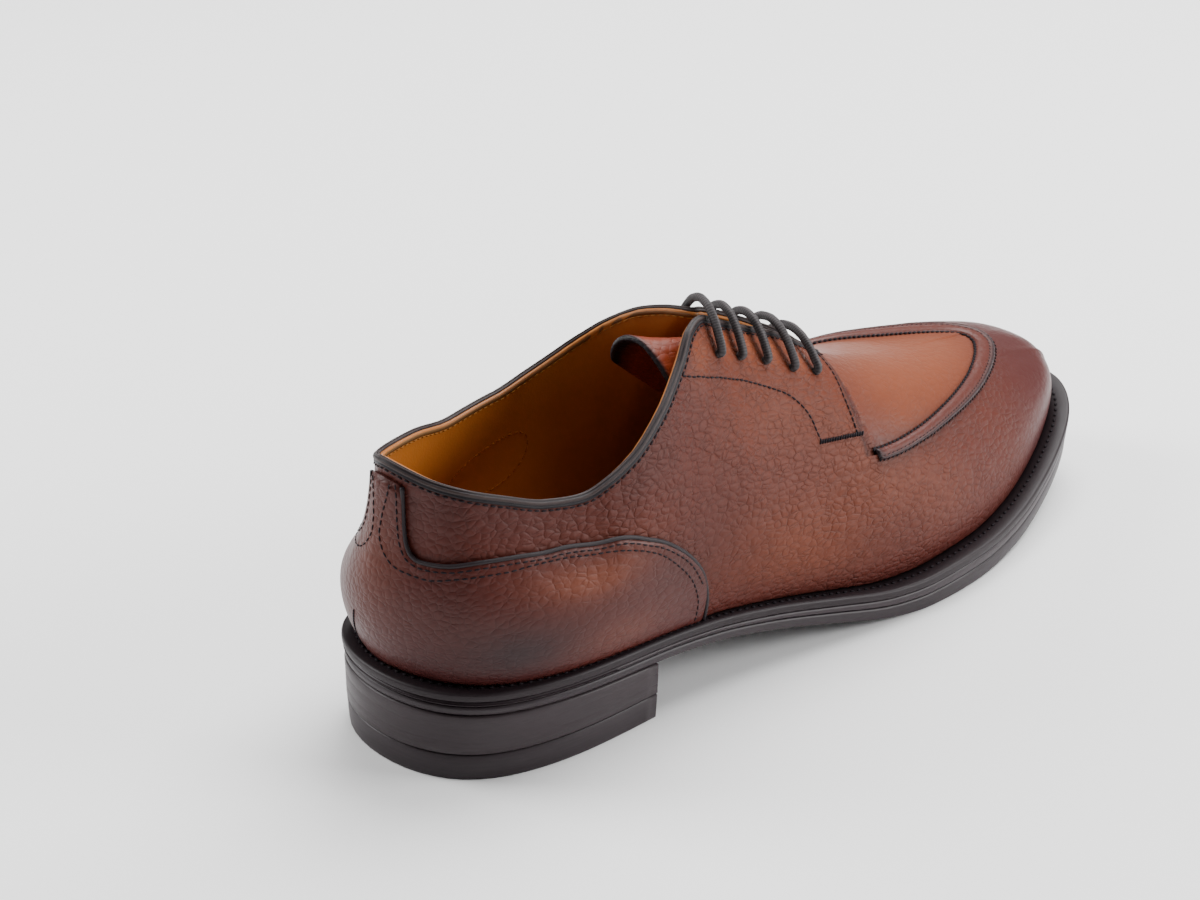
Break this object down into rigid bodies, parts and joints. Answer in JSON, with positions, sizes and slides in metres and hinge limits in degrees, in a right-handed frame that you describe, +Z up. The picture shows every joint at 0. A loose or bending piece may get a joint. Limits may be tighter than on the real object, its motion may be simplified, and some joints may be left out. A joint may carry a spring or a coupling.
{
  "type": "split toe derby shoe",
  "caption": "Leather lace-up dress shoe with a raised apron seam, heel counter, welted sole and stacked heel; right foot, laced closed.",
  "frame": {"origin": "on the floor, under the middle of the shoe's overall length and width", "axes": "+X to the wearer's right, the outer side of this right shoe; +Y forward, from heel to toe; +Z up"},
  "size_m": [0.1002, 0.3042, 0.1135],
  "materials": {
    "upper_leather": "satin grained brown-red leather",
    "counter_leather": "satin smooth burgundy leather",
    "seam_leather": "satin rolled edge",
    "tongue_leather": "satin tan leather",
    "insole_leather": "matt mustard leather",
    "welt_leather": "dark dressed edge",
    "midsole_leather": "dark dressed edge",
    "outsole_rubber": "matt",
    "heel_leather": "dark dressed stack",
    "top_piece_rubber": "matt",
    "lace_cord": "round woven cord"
  },
  "bodies": {
    "root": {"upper": "upper_leather", "heel_counter": "counter_leather", "apron_seam": "seam_leather", "tongue": "tongue_leather", "insole": "insole_leather", "welt": "welt_leather", "midsole": "midsole_leather", "outsole": "outsole_rubber", "heel_stack": "heel_leather", "top_piece": "top_piece_rubber", "lace": "lace_cord"}
  },
  "joints": []
}
